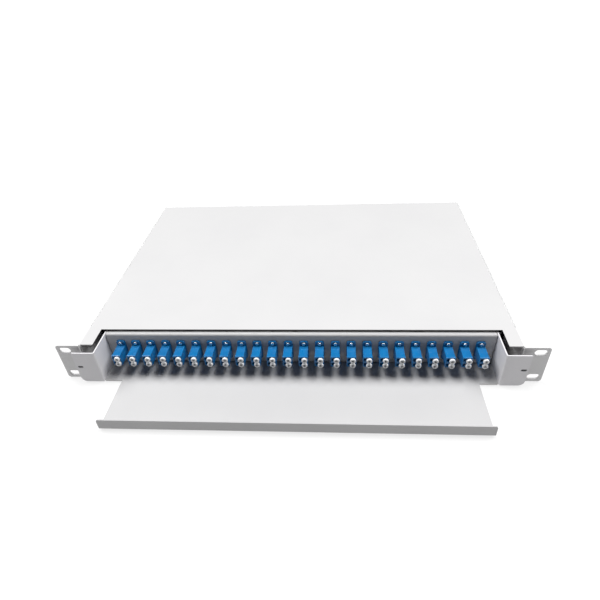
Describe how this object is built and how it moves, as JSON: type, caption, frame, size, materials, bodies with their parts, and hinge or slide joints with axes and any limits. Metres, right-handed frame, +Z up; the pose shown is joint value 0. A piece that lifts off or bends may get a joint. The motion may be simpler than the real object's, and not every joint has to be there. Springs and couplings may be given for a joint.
{
  "type": "fiber termination box",
  "caption": "Rack-mounted drawer-type fibre termination box with a row of upright duplex adapters behind a lipped patch tongue, wing brackets and slotted ears.",
  "frame": {"origin": "centre of the rack-slot pattern, on the rear faces of the two ears that meet the rack rails", "axes": "+X to the right seen from the front, +Y into the depth of the rack, +Z up"},
  "size_m": [0.4826, 0.3968, 0.0448],
  "materials": {
    "powder_coat": "light grey fine-texture powder coat on sheet steel",
    "ear_grey": "light grey powder coat, 2 mm steel",
    "screw_steel": "zinc plated",
    "slide_zinc": "zinc plated sheet",
    "bright_steel": "nickel plated",
    "brass_stud": "plain turned",
    "black_nylon": "moulded nylon",
    "black_rubber": "moulded rubber",
    "adapter_blue": "moulded, satin",
    "zirconia": "polished ceramic",
    "cap_white": "soft moulded, satin",
    "tray_white": "moulded ABS",
    "lid_clear": "clear moulded acrylic"
  },
  "bodies": {
    "chassis": {"chassis_base": "powder_coat", "top_cover": "powder_coat", "cover_screws": "screw_steel", "rack_ear_left": "ear_grey", "rack_ear_right": "ear_grey", "ear_screws": "screw_steel", "cable_glands": "black_nylon", "gland_caps": "black_nylon", "gland_locknuts": "black_nylon", "entry_plugs": "black_rubber", "ground_stud": "brass_stud", "slide_outer_left": "slide_zinc", "slide_outer_right": "slide_zinc", "slide_spacers": "slide_zinc", "wall_rivets": "screw_steel"},
    "drawer": {"slide_inner_left": "slide_zinc", "slide_inner_right": "slide_zinc", "drawer_rivets": "screw_steel", "drawer_tray": "powder_coat", "side_bracket_left": "powder_coat", "side_bracket_right": "powder_coat", "adapter_panel": "powder_coat", "adapter_bodies": "adapter_blue", "adapter_sleeves": "zirconia", "adapter_screws": "bright_steel", "adapter_nuts": "bright_steel", "rear_dust_caps": "cap_white", "floor_studs": "screw_steel", "stud_nuts": "screw_steel", "splice_tray_lower": "tray_white", "splice_tray_upper": "tray_white", "tray_lid": "lid_clear", "splice_combs": "tray_white", "fibre_spools": "tray_white"},
    "ball_cages": {"slide_retainers": "slide_zinc", "slide_balls": "bright_steel"},
    "cap_01": {"dust_cap_01": "cap_white"},
    "cap_02": {"dust_cap_02": "cap_white"},
    "cap_03": {"dust_cap_03": "cap_white"},
    "cap_04": {"dust_cap_04": "cap_white"},
    "cap_05": {"dust_cap_05": "cap_white"},
    "cap_06": {"dust_cap_06": "cap_white"},
    "cap_07": {"dust_cap_07": "cap_white"},
    "cap_08": {"dust_cap_08": "cap_white"},
    "cap_09": {"dust_cap_09": "cap_white"},
    "cap_10": {"dust_cap_10": "cap_white"},
    "cap_11": {"dust_cap_11": "cap_white"},
    "cap_12": {"dust_cap_12": "cap_white"},
    "cap_13": {"dust_cap_13": "cap_white"},
    "cap_14": {"dust_cap_14": "cap_white"},
    "cap_15": {"dust_cap_15": "cap_white"},
    "cap_16": {"dust_cap_16": "cap_white"},
    "cap_17": {"dust_cap_17": "cap_white"},
    "cap_18": {"dust_cap_18": "cap_white"},
    "cap_19": {"dust_cap_19": "cap_white"},
    "cap_20": {"dust_cap_20": "cap_white"},
    "cap_21": {"dust_cap_21": "cap_white"},
    "cap_22": {"dust_cap_22": "cap_white"},
    "cap_23": {"dust_cap_23": "cap_white"},
    "cap_24": {"dust_cap_24": "cap_white"}
  },
  "joints": [
    {"name": "drawer_slide", "type": "slide", "parent": "chassis", "child": "drawer", "axis": [0, -1, 0], "range_m": [-0.0055, 0.18]},
    {"name": "ball_cage_slide", "type": "slide", "parent": "chassis", "child": "ball_cages", "axis": [0, -1, 0], "range_m": [-0.003, 0.0905]},
    {"name": "dust_cap_01_pull", "type": "slide", "parent": "drawer", "child": "cap_01", "axis": [0, -1, 0], "range_m": [0, 0.015]},
    {"name": "dust_cap_02_pull", "type": "slide", "parent": "drawer", "child": "cap_02", "axis": [0, -1, 0], "range_m": [0, 0.015]},
    {"name": "dust_cap_03_pull", "type": "slide", "parent": "drawer", "child": "cap_03", "axis": [0, -1, 0], "range_m": [0, 0.015]},
    {"name": "dust_cap_04_pull", "type": "slide", "parent": "drawer", "child": "cap_04", "axis": [0, -1, 0], "range_m": [0, 0.015]},
    {"name": "dust_cap_05_pull", "type": "slide", "parent": "drawer", "child": "cap_05", "axis": [0, -1, 0], "range_m": [0, 0.015]},
    {"name": "dust_cap_06_pull", "type": "slide", "parent": "drawer", "child": "cap_06", "axis": [0, -1, 0], "range_m": [0, 0.015]},
    {"name": "dust_cap_07_pull", "type": "slide", "parent": "drawer", "child": "cap_07", "axis": [0, -1, 0], "range_m": [0, 0.015]},
    {"name": "dust_cap_08_pull", "type": "slide", "parent": "drawer", "child": "cap_08", "axis": [0, -1, 0], "range_m": [0, 0.015]},
    {"name": "dust_cap_09_pull", "type": "slide", "parent": "drawer", "child": "cap_09", "axis": [0, -1, 0], "range_m": [0, 0.015]},
    {"name": "dust_cap_10_pull", "type": "slide", "parent": "drawer", "child": "cap_10", "axis": [0, -1, 0], "range_m": [0, 0.015]},
    {"name": "dust_cap_11_pull", "type": "slide", "parent": "drawer", "child": "cap_11", "axis": [0, -1, 0], "range_m": [0, 0.015]},
    {"name": "dust_cap_12_pull", "type": "slide", "parent": "drawer", "child": "cap_12", "axis": [0, -1, 0], "range_m": [0, 0.015]},
    {"name": "dust_cap_13_pull", "type": "slide", "parent": "drawer", "child": "cap_13", "axis": [0, -1, 0], "range_m": [0, 0.015]},
    {"name": "dust_cap_14_pull", "type": "slide", "parent": "drawer", "child": "cap_14", "axis": [0, -1, 0], "range_m": [0, 0.015]},
    {"name": "dust_cap_15_pull", "type": "slide", "parent": "drawer", "child": "cap_15", "axis": [0, -1, 0], "range_m": [0, 0.015]},
    {"name": "dust_cap_16_pull", "type": "slide", "parent": "drawer", "child": "cap_16", "axis": [0, -1, 0], "range_m": [0, 0.015]},
    {"name": "dust_cap_17_pull", "type": "slide", "parent": "drawer", "child": "cap_17", "axis": [0, -1, 0], "range_m": [0, 0.015]},
    {"name": "dust_cap_18_pull", "type": "slide", "parent": "drawer", "child": "cap_18", "axis": [0, -1, 0], "range_m": [0, 0.015]},
    {"name": "dust_cap_19_pull", "type": "slide", "parent": "drawer", "child": "cap_19", "axis": [0, -1, 0], "range_m": [0, 0.015]},
    {"name": "dust_cap_20_pull", "type": "slide", "parent": "drawer", "child": "cap_20", "axis": [0, -1, 0], "range_m": [0, 0.015]},
    {"name": "dust_cap_21_pull", "type": "slide", "parent": "drawer", "child": "cap_21", "axis": [0, -1, 0], "range_m": [0, 0.015]},
    {"name": "dust_cap_22_pull", "type": "slide", "parent": "drawer", "child": "cap_22", "axis": [0, -1, 0], "range_m": [0, 0.015]},
    {"name": "dust_cap_23_pull", "type": "slide", "parent": "drawer", "child": "cap_23", "axis": [0, -1, 0], "range_m": [0, 0.015]},
    {"name": "dust_cap_24_pull", "type": "slide", "parent": "drawer", "child": "cap_24", "axis": [0, -1, 0], "range_m": [0, 0.015]}
  ],
  "couplings": [
    {"joint": "ball_cage_slide", "follows": "drawer_slide", "ratio": 0.5}
  ]
}
